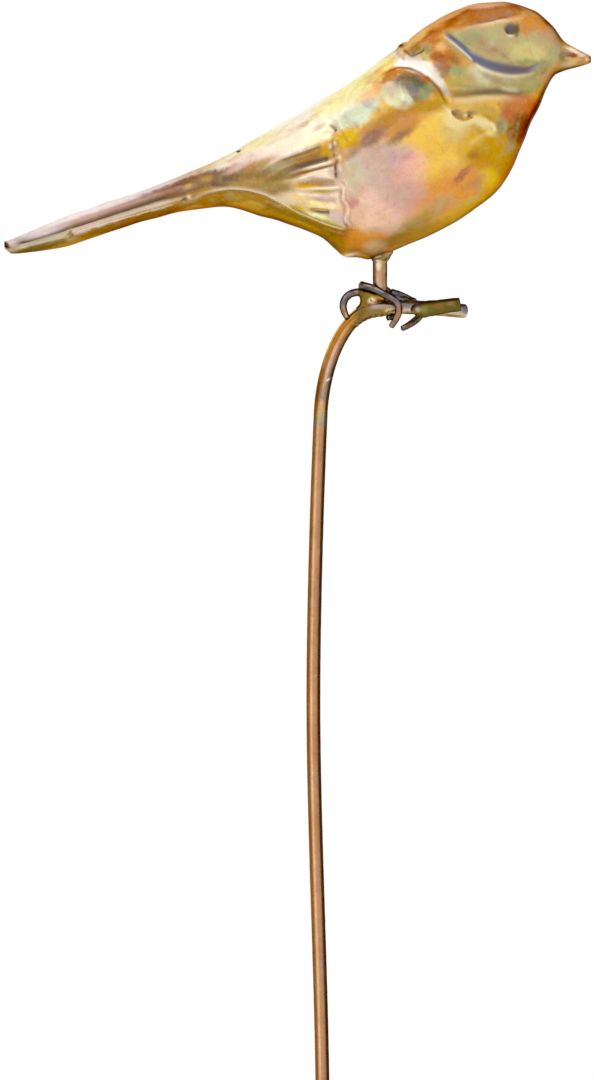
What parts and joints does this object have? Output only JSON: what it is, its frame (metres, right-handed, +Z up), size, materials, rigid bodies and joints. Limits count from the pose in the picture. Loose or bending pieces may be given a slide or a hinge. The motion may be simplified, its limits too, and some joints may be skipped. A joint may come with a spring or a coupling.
{
  "type": "bird garden stake",
  "caption": "Garden stake: a hollow songbird pressed from flame-tinted copper halves, brazed by leg and wire toes to the bent perch end of a slim copper-plated rod.",
  "frame": {"origin": "centre of the stake rod's flat-cut lower end", "axes": "+X the way the bird faces, +Y the bird's left, +Z up along the rod"},
  "size_m": [0.1994, 0.0556, 0.6102],
  "materials": {
    "flamed_copper": "flame-tinted, satin, lacquered",
    "copper_plated_rod": "copper-plated, heat-tinted at the bend",
    "toe_wire": "heat-darkened",
    "braze": "as flowed",
    "solder": "as flowed"
  },
  "bodies": {
    "root": {"right_half_shell": "flamed_copper", "left_half_shell": "flamed_copper", "back_seam_solder": "solder", "breast_seam_solder": "solder", "leg_rod": "copper_plated_rod", "belly_braze": "braze", "foot_braze": "braze", "right_front_toe": "toe_wire", "middle_front_toe": "toe_wire", "left_front_toe": "toe_wire", "hind_toe": "toe_wire", "stake_rod": "copper_plated_rod", "twig_stub": "copper_plated_rod", "twig_braze": "braze"}
  },
  "joints": []
}
